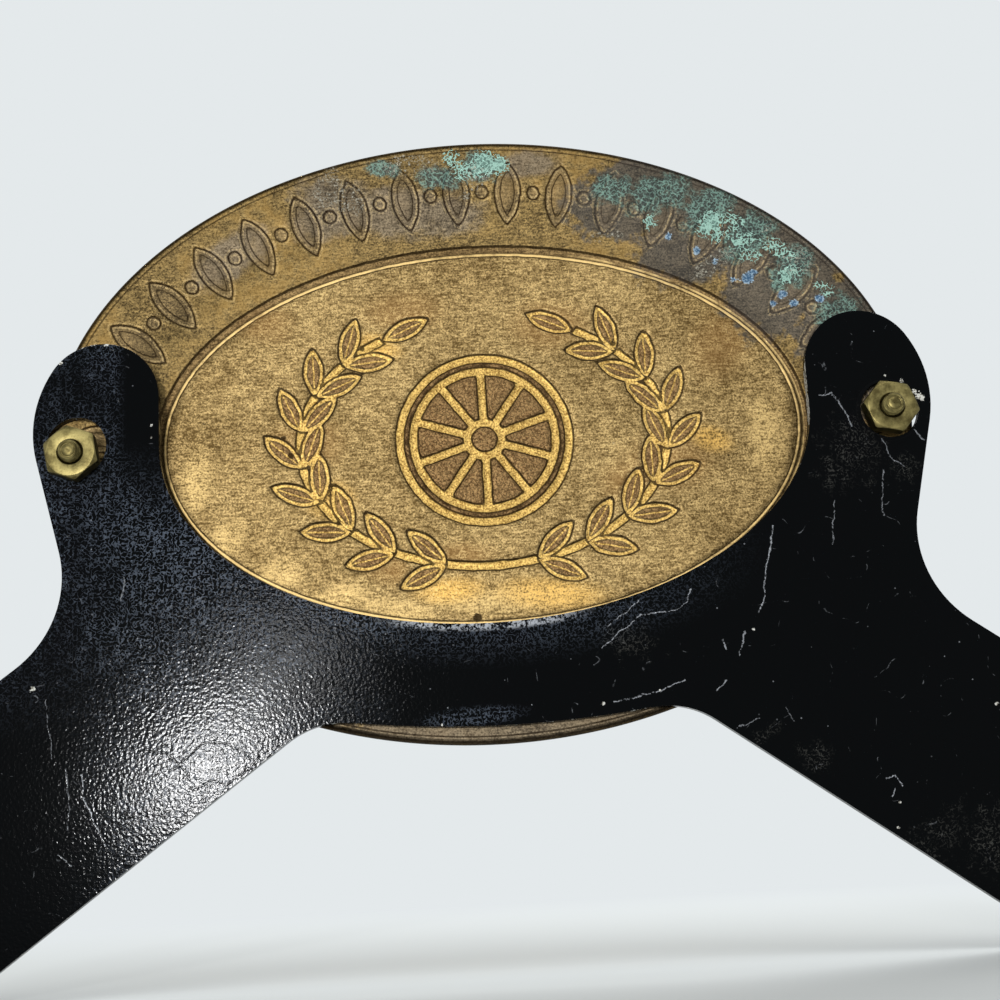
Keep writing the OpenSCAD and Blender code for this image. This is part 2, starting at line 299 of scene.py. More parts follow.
def old_brass():
    """Golden brass in the field, with a fine crinkled grain, browner on the band, pebbled inside the struck
    figures, stained dark and teal in places, with mint and blue crust. It is darker in the corners of struck
    lines, partly grime and partly painted shade, and has painted highlights: golden glows in the field, a light
    line on the border's ridge and light lines beside the band's ornaments."""
    material, start, place = new_material("old_brass")
    line, leaf, rib, pebble, border, motif, rim, painted_glow, painted_pale_glow, tan, dusk, lilac, teal, mint, blue, dust = (
        start.node("ShaderNodeAttribute", {"attribute_name": key}, output="Fac")
        for key in ("line", "leaf", "rib", "pebble", "border", "motif", "rim", "painted_glow", "painted_pale_glow", "tan", "dusk",
                    "lilac", "teal", "mint", "blue", "dust"))
    across = start.node("ShaderNodeSeparateXYZ", {}, {0: place}, 0) / MM
    grain = place.noise(0.30, 1.5, 0.6)
    brushed = place.noise(0.34, 1.5, 0.6, stretch=(0.2, 1, 1))
    cloud = place.noise(15, 3, 0.6)
    mottle = place.noise(2.2, 3, 0.65, seed=3)
    worm = place.worms(0.62, 0.14, seed=1)
    fleck = place.worms(0.55, 0.14, seed=6) * (brushed + mottle).rise(0.92, 1.08)
    spark = place.dots(1.1, 0.2, 0.1, seed=2)

    tone = (grain - 0.5) * 1.9 + (brushed - 0.5) * 0.8 + fleck * 0.5
    tone = tone + (mottle - 0.5) * 0.35 + (cloud - 0.5) * 0.8 + 0.36
    field = start.blend(linear(78, 61, 33), linear(170, 144, 96), tone)
    field = start.blend(field, linear(126, 92, 52), tan.rise(0, 0.8) * (0.2 + cloud * 0.4))
    # Painted highlight: a paler, lit band low in the field.
    field = start.blend(field, linear(196, 168, 112), painted_pale_glow.rise(0, 0.7) * tone.rise(-0.3, 1.0) * 0.8)
    # Painted highlight: golden glows of light on the field, over the grain's brighter parts.
    field = start.blend(field, linear(204, 162, 84), painted_glow.rise(0, 0.8) * tone.rise(-0.3, 0.9) * 0.8)
    field = start.blend(field, linear(206, 180, 124), spark.most(fleck * (cloud + 0.1).rise(0.4, 0.8)) * 0.55)
    band = start.blend(linear(58, 47, 29), linear(144, 121, 77), tone + 0.06)
    band = start.blend(band, linear(130, 102, 54), cloud.rise(0.4, 0.62) * mottle.rise(0.35, 0.65) * 0.5)
    color = start.blend(field, band, border.rise(1.6, 2.0))
    pebble = pebble.rise(-0.1, 0.15)
    pebbled = start.blend(linear(80, 56, 34), linear(148, 118, 78), (grain - 0.5) * 2.4 + 0.5)
    pebbled = start.blend(pebbled, linear(50, 34, 18), worm * 0.7)
    color = start.blend(color, pebbled, pebble * 0.85)
    lilac = (lilac + (mottle - 0.5) * 0.8).rise(0.22, 0.62)
    color = start.blend(color, start.blend(linear(58, 52, 44), linear(122, 112, 98), tone + 0.1), lilac * 0.72)
    dusk = (dusk + (mottle - 0.5) * 0.8).rise(0.14, 0.32)
    color = start.blend(color, start.blend(linear(34, 31, 26), linear(88, 80, 68), tone), dusk * 0.94)

    bright = start.blend(linear(122, 92, 42), linear(228, 192, 112), (grain - 0.5) * 2.6 + (mottle - 0.5) + 0.5)
    wall = leaf.line(0.6, -0.38).most(rib.line(0.34) * leaf.rise(-0.3, -0.5))
    color = start.blend(color, bright, line.rise(0.05, -0.1).most(wall) * 0.9)
    # Painted highlight: a light line on the ridge in the border groove, and a second one on the band's -X side.
    painted_ridge_highlight = border.line(0.55, 0.32) * (mottle * 1.1 + cloud * 1.2 - 0.45).rise(0.15, 0.8)
    painted_ridge_highlight = painted_ridge_highlight.most(border.line(0.5, 1.05) * across.rise(-12, -24) * (mottle + 0.3).rise(0.6, 0.9))
    groove = start.blend(linear(60, 47, 30), linear(128, 103, 68), tone + 0.1)
    color = start.blend(color, groove, border.line(1.5, 1.2) * 0.7)
    color = start.blend(color, linear(214, 184, 124), painted_ridge_highlight * 0.8)
    inside = start.blend(linear(70, 60, 46), linear(118, 102, 78), tone)
    color = start.blend(color, inside, motif.rise(0.05, -0.1) * 0.45)
    # Painted highlight: light lines just inside and just outside the outlines of the band's ornaments.
    painted_lip_highlight = motif.line(0.34, -0.36).most(motif.line(0.3, 0.4) * 0.7)
    color = start.blend(color, linear(190, 166, 118), painted_lip_highlight * (mottle + grain - 0.5).rise(0.3, 0.8) * 0.5)
    # Darker along the edges of struck lines, leaves and ornaments, along lines of the border and the rim, and
    # in pits and dots: partly grime, partly painted shade beside the relief.
    grime_and_shade = strongest([
        line.line(0.42), leaf.line(0.42), leaf.line(0.24, -0.72) * 0.6,
        motif.line(0.36).most(motif.line(0.28, -1.0) * 0.8) * (1 - dusk * 0.4),
        border.line(0.3, 0.0) * 0.8, border.line(0.24, 0.66) * 0.7, border.line(0.5, 1.85),
        rim.line(0.3, 1.25) * 0.8, rim.rise(0.75, 0.45) * 0.8])
    pits = strongest([place.near(*pit) for pit in badge_pits]) + (grain - 0.5) * 0.8
    grime_and_shade = strongest([grime_and_shade * (mottle * 0.8 + 0.55), pits.rise(-0.05, 0.15),
                       place.dots(6, 0.28, 0.3, seed=4) * 0.7])
    color = start.blend(color, linear(36, 24, 12), grime_and_shade * 0.85)

    lace = place.worms(0.75, 0.17, seed=4) * 0.9 + (grain - 0.5) * 1.5 + (mottle - 0.5) * 0.6 + 0.05
    teal = (teal + (mottle - 0.5) * 1.1).rise(0.22, 0.6)
    color = start.blend(color, start.blend(linear(32, 42, 38), linear(106, 138, 126), lace), teal * 0.85)
    mint = (mint * 1.1 + lace - 0.4).rise(-0.05, 0.15)
    blue_tone = (grain - 0.5) * 3.4 + (0.35 - blue) * 0.8 + 0.25
    blue = (blue * 1.6 + (grain - 0.5) * 1.2).rise(0.0, 0.4)
    color = start.blend(color, start.blend(linear(52, 82, 74), linear(150, 188, 174), lace + 0.3), mint * 0.95)
    color = start.blend(color, start.blend(linear(48, 84, 114), linear(158, 182, 198), blue_tone), blue)
    dust = place.dots(0.8, 0.26, 0.5).most(fleck * 0.8) * (dust + (mottle - 0.5) * 0.8).rise(0.25, 0.55)
    color = start.blend(color, linear(172, 168, 152), dust * 0.7)

    dull = strongest([teal * 0.6, dusk * 0.35, mint, blue, dust])
    height = grain * 0.35 + mottle * 0.2 - grime_and_shade * 0.8 + worm * pebble * 0.5
    height = height + mint.most(dust) * 1.4 + teal * lace * 0.3
    normal = start.node("ShaderNodeBump", {}, {"Height": height, "Strength": 0.6, "Distance": 0.1 * MM})
    finish_material(start, {
        "Base Color": color, "Normal": normal, "Metallic": 1 - dull * 0.9,
        "Roughness": ((mottle - 0.5) * 0.2 + grime_and_shade * 0.1 + 0.56).most(dull * 0.8)})
    return material


badge_low, badge_high = (np.array(corner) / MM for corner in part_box("badge"))
badge_middle = (badge_low + badge_high) / 2
badge_turn = math.radians(0.6)
half_w, half_h = (badge_high - badge_low)[[0, 2]] / 2
flange_y = badge_high[1]
sheet_t, dish, relief = 1.2, 2.2, 0.35
edge_round, struck_soft, motif_share = 0.3, 0.22, 0.6
field_a, field_b, border_w = 51.5, 30.75, 1.8
wall_from, wall_to = field_a + border_w + 0.6, 63.8
art_drop = 0.9
wheel_r, tyre_w, hub_r, line_w, spokes = 14.5, 3.6, 3.5, 1.4, 10
wreath_a, wreath_b, leaf_l, leaf_w, leaf_pairs = 30.0, 21.0, 8.6, 3.4, 8
leaf_lean = math.radians(34)
stem_from, stem_to, last_pair = (math.radians(a) for a in (-98, 58, -76))
band_leaves, band_leaf_l, band_leaf_w, pip_r, band_shift = 38, 10.6, 4.4, 1.1, 0.2
far = 9.0


def wheel_distance(x, z):
    """Distance from the wheel's struck lines: two tyre lines, a hub ring, and spokes folded into one sector."""
    radius = np.hypot(x, z)
    sector = 2 * math.pi / spokes
    folded = np.mod(np.arctan2(z, x), sector) - sector / 2
    tyre_in = wheel_r - tyre_w
    rings = [abs(radius - r + line_w / 2) - line_w / 2 for r in (wheel_r, tyre_in + line_w, hub_r)]
    spoke = np.maximum(abs(radius * np.sin(folded)) - line_w / 2, abs(radius - (tyre_in + hub_r) / 2)
                       - (tyre_in - hub_r + line_w) / 2)
    return np.minimum.reduce(rings + [spoke])


def wreath_distance(x, z):
    """Distances from the wreath's stem and from its nearest leaf, and the offset from that leaf's midrib. The
    stem follows an ellipse, and leaves lean out from it on both sides at equal steps of the ellipse's angle."""
    x = abs(x)
    angle = np.arctan2(z / wreath_b, x / wreath_a)
    angle = np.where(angle < math.radians(-120), angle + 2 * math.pi, angle)
    beyond = np.maximum(angle - stem_to, stem_from - angle) * wreath_a
    stem = np.maximum(abs(oval_distance(x, z, wreath_a, wreath_b)) - line_w / 2, beyond)
    nearest, midrib = np.full_like(x, far), np.full_like(x, far)
    for i in range(leaf_pairs + 1):
        t = stem_to + (last_pair - stem_to) * i / leaf_pairs
        along = math.atan2(wreath_b * math.cos(t), -wreath_a * math.sin(t))
        for side in (0,) if i == 0 else (-1, 1):
            p, q = at(x, z, (wreath_a * math.cos(t), wreath_b * math.sin(t)), along + side * leaf_lean)
            leaf = leaf_distance(p, q, leaf_l, leaf_w)
            midrib = np.where(leaf < nearest, q, midrib)
            nearest = np.minimum(nearest, leaf)
    return stem, nearest, midrib


def band_distance(x, z):
    """Distance from the band's ornaments: upright leaves and small discs by turns, at equal steps round the
    ellipse midway across the band."""
    a, b = (field_a + border_w + half_w) / 2 + band_shift, (field_b + border_w + half_h) / 2 + band_shift
    t = np.linspace(0, 2 * math.pi, 2001)
    way = np.concatenate([[0], np.cumsum(np.hypot(np.diff(a * np.cos(t)), np.diff(b * np.sin(t))))])
    found = np.full_like(x, far)
    for i in range(2 * band_leaves):
        s = np.interp(way[-1] * (i + 0.5) / (2 * band_leaves), way, t)
        outward = math.atan2(math.sin(s) / b, math.cos(s) / a)
        p, q = at(x, z, (a * math.cos(s), b * math.sin(s)), outward)
        if i % 2:
            found = np.minimum(found, np.hypot(p, q) - pip_r)
        else:
            found = np.minimum(found, leaf_distance(p + band_leaf_l / 2, q, band_leaf_l, band_leaf_w))
    return found


def spot_depth(x, z, spots):
    """Depth in the nearest of many spots. A spot is a place, a radius and a thickness: a disc where the two are
    equal, or else a ring of that thickness."""
    depths = [np.where(r > thick, thick / 2 - abs(np.hypot(x - px, z - pz) - r + thick / 2),
                       r - np.hypot(x - px, z - pz)) for px, pz, r, thick in spots]
    return np.maximum.reduce(depths)


def patch_share(x, z, patches):
    """1 in the middle of the nearest soft oval patch, down to 0 at its rim. A patch is a place, two half axes
    and a turn."""
    found = np.zeros_like(x)
    for px, pz, a, b, turn in patches:
        p, q = at(x, z, (px, pz), turn)
        found = np.maximum(found, 1 - np.sqrt((p / a) ** 2 + (q / b) ** 2))
    return found


# places and radii of pits in the row frame, then spots and patches in the badge's own axes
badge_pits = [(-21.8, 81.9, 0.5), (19.8, 82.9, 0.45), (33.0, 68.1, 0.4), (31.9, 65.2, 0.5),
              (3.0, 37.1, 0.7)]
mint_spots = [(-40.4, 34.2, 1.6, 1.6), (-41.9, 33.0, 1.3, 0.55), (-39.1, 32.9, 1.2, 1.2),
              (-40.8, 31.6, 1.0, 1.0), (-43.9, 30.3, 0.9, 0.9), (-45.2, 29.8, 1.2, 0.6),
              (-46.8, 30.8, 0.8, 0.4), (-44.5, 33.6, 1.1, 0.5), (-43.5, 35.1, 0.6, 0.6),
              (-45.4, 27.7, 0.65, 0.65), (-47.0, 27.5, 0.75, 0.75), (-50.2, 29.2, 1.2, 0.8),
              (-51.6, 28.2, 1.2, 0.8), (-52.8, 27.1, 0.7, 0.7), (-52.0, 23.9, 1.35, 1.35),
              (-53.4, 24.5, 0.9, 0.9), (-57.2, 21.7, 0.65, 0.65), (-58.5, 20.7, 0.9, 0.35),
              (-30.1, 34.8, 0.9, 0.9), (-1.3, 45.4, 1.3, 1.3), (-3.0, 46.8, 2.1, 2.1),
              (0.9, 45.4, 1.4, 0.9), (-5.4, 46.2, 1.5, 1.5), (2.6, 48.0, 1.2, 0.8)]
blue_spots = [(-33.0, 32.2, 0.7, 0.7), (-37.6, 29.5, 0.75, 0.75), (-40.5, 27.4, 0.6, 0.6),
              (-43.2, 24.1, 0.6, 0.6), (-45.7, 24.1, 1.1, 1.1), (-46.7, 24.9, 0.7, 0.7),
              (-51.1, 20.8, 0.85, 0.85), (-52.8, 19.1, 0.8, 0.8), (-49.5, 19.5, 0.7, 0.7),
              (-57.0, 19.4, 0.95, 0.95), (-48.1, 22.0, 0.55, 0.22)]
teal_patches = [(-32, 39.5, 9, 5, -0.2), (-40, 36.5, 9, 4.5, -0.5), (-46.5, 31.5, 8, 5, -0.75),
                (-53, 25, 7, 5, -0.9), (-60, 16, 6, 6, -1.1), (-2, 46, 5.5, 4.5, 0), (5, 44.5, 6, 3.5, 0.1),
                (14, 46.5, 5, 2.5, 0.2), (-24, 41, 6, 4, 0)]
dusk_patches = [(-30, 40, 18, 9, -0.25), (-41, 34, 19, 11, -0.5), (-52, 25, 17, 11, -0.85),
                (-61, 14, 12, 11, -1.2), (-66, 5, 10, 10, 0)]
lilac_patches = [(12, 39, 17, 7, 0.12), (22, 41, 12, 7, 0.3), (3, 38, 9, 5, 0), (-10, 46, 9, 4, 0),
                 (0, -48, 60, 9, 0), (40, 32.5, 12, 5.5, -0.62), (24, 38.5, 10, 6, -0.3)]
dust_patches = [(9.5, 46.8, 7, 3, 0.05), (23.5, 43.5, 3.5, 6, 0.4), (20, 41.5, 4, 4, 0),
                (-1.5, 44.5, 3.5, 3.5, 0), (-40, 27, 6, 2.6, -0.5), (-22.5, 33.2, 4, 1.6, 0),
                (-54, 26, 4, 5, -0.9), (-49.6, 32.4, 2.6, 0.7, -0.75), (0, 41.3, 3, 1.0, -0.2)]
# Ovals of painted highlight on the field: golden glows where the light falls on the metal.
painted_glow_patches = [(25.5, -9.6, 5.5, 4.5, 0.3), (7, -25.5, 8, 3, 0), (-9, -27.0, 12, 3.6, 0.1),
                (-37, -3, 5, 3, 0.4), (17, 16, 6, 3, 0.3)]
# Ovals of painted highlight: a paler glow low in the field and at its sides.
painted_pale_glow_patches = [(43, -16, 7, 3.5, 2.25), (35, -22, 8, 3.6, 2.62), (26, -26, 9, 3, 2.85),
                (-2, -27.5, 16, 2.6, 0), (-46, -3, 4, 10, 0), (16, -28, 8, 2.5, 0.2), (47, -5, 3.5, 8, 0.1)]
tan_patches = [(35.8, 21.6, 8, 5, 0.4), (28.3, 0.6, 8, 6, 0.3), (-29.9, -6.2, 10, 7, 0),
               (-23.1, -9.2, 7, 5, 0), (5, -20, 8, 3, 0), (17, -21, 6, 4, 0.5), (-40, 13, 7, 9, 0.5),
               (12, 22, 9, 5, 0), (-12, 18, 9, 6, 0)]


badge_cells = 216
ring_stations = np.array([
    # ring's share, half width, half height, drop of its middle
    (0.0, 0.0, 0.0, art_drop), (0.27, wheel_r, wheel_r, art_drop), (0.65, 37.5, 27.0, art_drop),
    (0.74, field_a - 0.3, field_b - 0.3, 0.0), (0.82, field_a + border_w + 0.3, field_b + border_w + 0.3, 0.0),
    (0.93, 61.7, 41.9, 0.0), (0.985, half_w - 1.5, half_h - 1.5, 0.0),
    (1.0, half_w - edge_round, half_h - edge_round, 0.0)])
ring, across, up = disc_grid(badge_cells)
ring_a, ring_b, ring_drop = (np.interp(ring, ring_stations[:, 0], ring_stations[:, k]) for k in (1, 2, 3))
bx, bz = ring_a * across, ring_b * up - ring_drop

wobble = 0.07 * noise_field(bx, bz, 2.6, 8)
stem, leaf, rib = wreath_distance(bx + wobble, bz + art_drop - wobble)
line = np.minimum(stem, wheel_distance(bx, bz + art_drop) + wobble * 0.7)
line = np.where(leaf < 0, np.maximum(line, -leaf), line)
pebble = np.maximum(wheel_r - 0.4 - np.hypot(bx, bz + art_drop), -leaf - 0.75)
border = oval_distance(bx, bz, field_a, field_b) + wobble * 0.5
motif = np.where(border > border_w, band_distance(bx + wobble, bz + wobble), far)
rim_gap = -oval_distance(bx, bz, half_w, half_h)

pressed = dish * (1 - smooth(ring_a, wall_from, wall_to))
blade = smooth(-leaf, 0.55, 0.85) * smooth(abs(rib), 0.15, 0.4)
lines = np.maximum(smooth(line, struck_soft, -struck_soft), smooth(leaf, struck_soft, -struck_soft)
                   * (1 - 0.5 * blade))
frame_line = smooth(border, -0.1, 0.15) * smooth(border, border_w + 0.1, border_w - 0.2)
ridge_line = smooth(border, 0.1, 0.25) * smooth(border, 0.75, 0.6)
motifs = smooth(motif, 0.25, -0.15) * (1 - 0.7 * smooth(motif, -0.8, -1.2)) * motif_share
rim = smooth(rim_gap, 1.4, 1.1)
dents = 0.04 * noise_field(bx, bz, 12, 5) * smooth(rim_gap, 0, 3) * (1 - smooth(ring_a, 56, 60))
back_y = flange_y - pressed - relief * np.maximum.reduce([lines, frame_line - 0.8 * ridge_line, motifs])
back_y = back_y + dents
front_y = flange_y - pressed - sheet_t - relief * np.maximum.reduce([lines, frame_line, motifs, rim])
front_y = np.maximum(front_y, badge_low[1] + 0.005)


def turned(x, y, z):
    """From the badge's own axes to the row frame: a small turn about its middle."""
    return np.stack([badge_middle[0] + x * math.cos(badge_turn) + z * math.sin(badge_turn), y,
                     badge_middle[2] - x * math.sin(badge_turn) + z * math.cos(badge_turn)], axis=-1)


def rim_of(grid):
    """The outer points of a square grid, once round."""
    return np.concatenate([grid[0, :-1], grid[:-1, -1], grid[-1, :0:-1], grid[:0:-1, 0]])


count = (badge_cells + 1) ** 2
index = np.arange(count).reshape(badge_cells + 1, badge_cells + 1)
# share of the edge's round, and share of the way from the back to the front
edge_rows = [(0.75, 0.07), (1.0, 0.25), (1.0, 0.75), (0.75, 0.93)]
rim_x, rim_z, rim_back, rim_front = (rim_of(g) for g in (bx, bz, back_y, front_y))
grow_x = rim_x * edge_round / (half_w - edge_round)
grow_z = rim_z * edge_round / (half_h - edge_round)
edge_points = [turned(rim_x + grow_x * out, rim_back + (rim_front - rim_back) * way, rim_z + grow_z * out)
               for out, way in edge_rows]
around = len(rim_x)
edge_index = np.arange(around * len(edge_rows)).reshape(len(edge_rows), around) + 2 * count
wall = np.concatenate([[rim_of(index)], edge_index, [rim_of(index) + count]])
points = np.concatenate([turned(bx, back_y, bz).reshape(-1, 3), turned(bx, front_y, bz).reshape(-1, 3)]
                        + edge_points)
faces = np.concatenate([grid_faces(index), grid_faces(index + count)[:, ::-1],
                        grid_faces(wall, wrap_columns=True)])


def both_sides(values, on_front=None, on_edge=far):
    """An attribute's values for the back, the front and the edge."""
    front_values = values if on_front is None else on_front
    return np.concatenate([values.ravel(), front_values.ravel(), np.full(around * len(edge_rows), on_edge)])


clean = np.zeros_like(bx)
looks = {"line": both_sides(line), "leaf": both_sides(leaf), "rib": both_sides(rib), "motif": both_sides(motif),
         "pebble": both_sides(pebble, on_edge=-far), "border": both_sides(border, on_edge=12.0),
         "rim": both_sides(rim_gap, on_edge=0.0)}
# Attributes for the painted glows and the tan patches, the same on both sides.
for key, patches in (("painted_glow", painted_glow_patches), ("painted_pale_glow", painted_pale_glow_patches), ("tan", tan_patches)):
    looks[key] = both_sides(patch_share(bx, bz, patches), on_edge=0.0)
for key, patches, on_edge in (("dusk", dusk_patches, 0.3), ("lilac", lilac_patches, 0.0),
                              ("teal", teal_patches, 0.0), ("dust", dust_patches, 0.0)):
    looks[key] = both_sides(patch_share(bx, bz, patches), clean, on_edge)
for key, spots in (("mint", mint_spots), ("blue", blue_spots)):
    looks[key] = both_sides(spot_depth(bx, bz, spots), clean - far, -far)
new_piece("badge_struck", points, faces, old_brass(), "topper", ["badge"], looks)


# Bracket: one blanked steel sheet, stove-enamelled black all over, so that its edges are rounded by the enamel.
# The enamel has an orange peel, hairline cracks, scratches, and chips down to grey primer along its cut edges.
# Places on it are across and up in the row frame, and an oval patch adds two half axes and a turn.
scuff_patches = [(-47.5, 12.5, 4.5, 4, 0.4), (-40, 16, 5, 2.2, -0.6), (-66, 0, 9, 6, -0.6),
                 (-73, -2, 9, 9, 0), (-59, 62, 9, 11, 0.2), (-55, 57, 6, 6, 0), (-67, 57, 4, 4, 0),
                 (-20, 32, 9, 5, 0.4)]
scratches = [  # brightness and width, and the places of the scratch's turns
    (0.7, 0.22, (-17.2, 34.0), (-22.5, 38.0)),
    (0.75, 0.22, (-16.2, 30.8), (-22.3, 35.7), (-27.9, 36.2), (-29.9, 37.5), (-30.7, 39.2)),
    (0.7, 0.26, (-44.7, 48.8), (-43.0, 42.4), (-42.1, 37.7), (-41.2, 35.3)),
    (0.6, 0.3, (-35.0, 31.1), (-35.5, 29.5)), (0.55, 0.3, (-38.6, 32.1), (-37.5, 28.6)),
    (0.6, 0.3, (-33.2, 23.3), (-35.1, 24.8)), (0.7, 0.28, (-17.3, 22.3), (-24.5, 23.7), (-28.4, 25.2)),
    (0.4, 0.22, (-36.1, 17.3), (-39.7, 18.7)), (0.3, 0.22, (-43.8, 20.0), (-45.0, 17.8)),
    (0.9, 0.3, (-58.2, 8.4), (-59.6, 8.8), (-60.7, 7.2)), (0.7, 0.26, (-59.5, 7.0), (-58.8, 5.7)),
    (0.5, 0.3, (-54.3, 70.1), (-56.0, 70.5), (-58.1, 67.4), (-59.0, 64.8)),
    (0.45, 0.26, (-63.6, 62.1), (-64.6, 59.5), (-66.8, 57.7)), (0.4, 0.24, (-63.3, 57.1), (-62.3, 49.7)),
    (0.4, 0.24, (-54.9, 52.5), (-53.8, 45.3)), (0.45, 0.3, (-69.1, 63.5), (-70.5, 61.7)),
    (0.75, 0.28, (64.2, 15.6), (63.8, 11.8), (62.5, 8.8), (60.7, 4.7)),
    (0.3, 0.3, (66.6, 16.5), (66.2, 12.0), (66.5, 7.5)), (0.45, 0.26, (67.7, 3.8), (65.6, 2.2)),
    (0.4, 0.24, (57.9, 45.8), (58.3, 42.1)), (0.3, 0.24, (69.9, 27.2), (68.7, 18.1))]
crack_lines = [
    ((51.2, 15.3), (49.4, 16.3), (47.9, 17.7), (46.3, 19.1), (44.1, 19.5), (41.8, 18.9), (38.8, 16.8)),
    ((47.2, 12.4), (44.9, 13.8), (42.6, 12.9), (41.1, 13.9), (38.8, 15.3), (37.6, 16.9)),
    ((55.4, 18.6), (52.4, 18.7), (49.4, 16.3), (47.9, 14.0))]
chip_spots = [(64.9, 84.2, 0.6), (63.0, 84.7, 0.6), (60.8, 84.4, 0.5), (68.1, 81.4, 0.35),
              (53.6, 70.2, 0.22), (53.6, 68.2, 0.22), (71.9, 29.0, 0.45), (-40.0, 32.5, 0.22),
              (-59.3, 1.0, 0.25), (-59.9, 4.8, 0.25), (-76.8, 18.9, 0.3), (9.4, 20.2, 0.2),
              (-15.6, 22.2, 0.3), (-24.6, 23.7, 0.2), (-69.9, 70, 0.45), (-70.6, 69.1, 0.7),
              (-71, 68.6, 0.3), (-67.9, 71.9, 0.35), (-65.3, 72.9, 0.2)]
rubbed_patches = [(-53.4, 70, 1.6, 9), (31, 41, 7, 4, -0.6), (-10, 35.8, 14, 2.5, 0.1), (64, 84, 6, 2)]
# Ovals as across, up, two half axes and, for most, a turn: the window, the painted glint along its edge, and
# the patches of painted sheen on the enamel.
window_oval, painted_glint_oval = (0, 67.3, 52.4, 31.65, -0.028), (2, 37, 18, 9)
painted_sheen_oval, web_painted_sheen_oval = (47, 50, 16, 13, 0.4), (4.5, 21.2, 10, 1.9, -0.05)
rim_painted_sheen_oval = (26, 40, 17, 4.5, 0.42)
hole_places, hole_reach = [(-65.16, 67.09), (65.84, 65.71)], 5.2
sway_reach, crack_w = 1.6, 0.4


